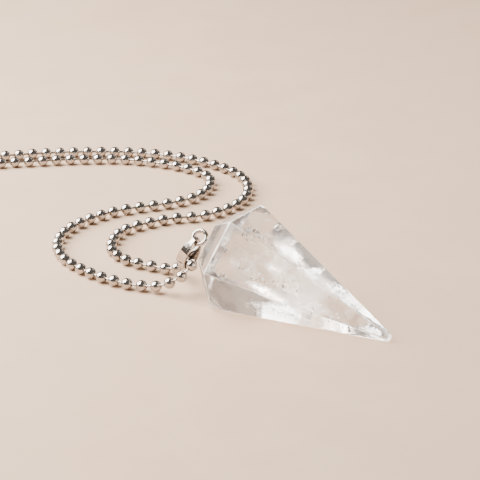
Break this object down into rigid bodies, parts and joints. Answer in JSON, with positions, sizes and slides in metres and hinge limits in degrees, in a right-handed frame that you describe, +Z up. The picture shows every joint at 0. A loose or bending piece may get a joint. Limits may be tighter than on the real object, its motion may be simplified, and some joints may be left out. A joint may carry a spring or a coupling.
{
  "type": "pendulum pendant",
  "caption": "Faceted clear quartz pendulum point on a ball chain, with an eye pin, a flat teardrop bail and a snap sleeve, lying on one long facet.",
  "frame": {"origin": "centre of the long facet that the stone rests on, on the surface", "axes": "+Z up, +Y away from the front view, +X to its right; the stone's tip points towards +X and -Y"},
  "size_m": [0.1521, 0.1209, 0.0197],
  "materials": {
    "quartz": "polished, slightly milky",
    "ring_metal": "polished",
    "bail_metal": "polished",
    "chain_metal": "polished"
  },
  "bodies": {
    "root": {"crystal": "quartz", "eye_pin": "ring_metal", "bail": "bail_metal", "ball_chain": "chain_metal", "connector": "chain_metal"}
  },
  "joints": []
}
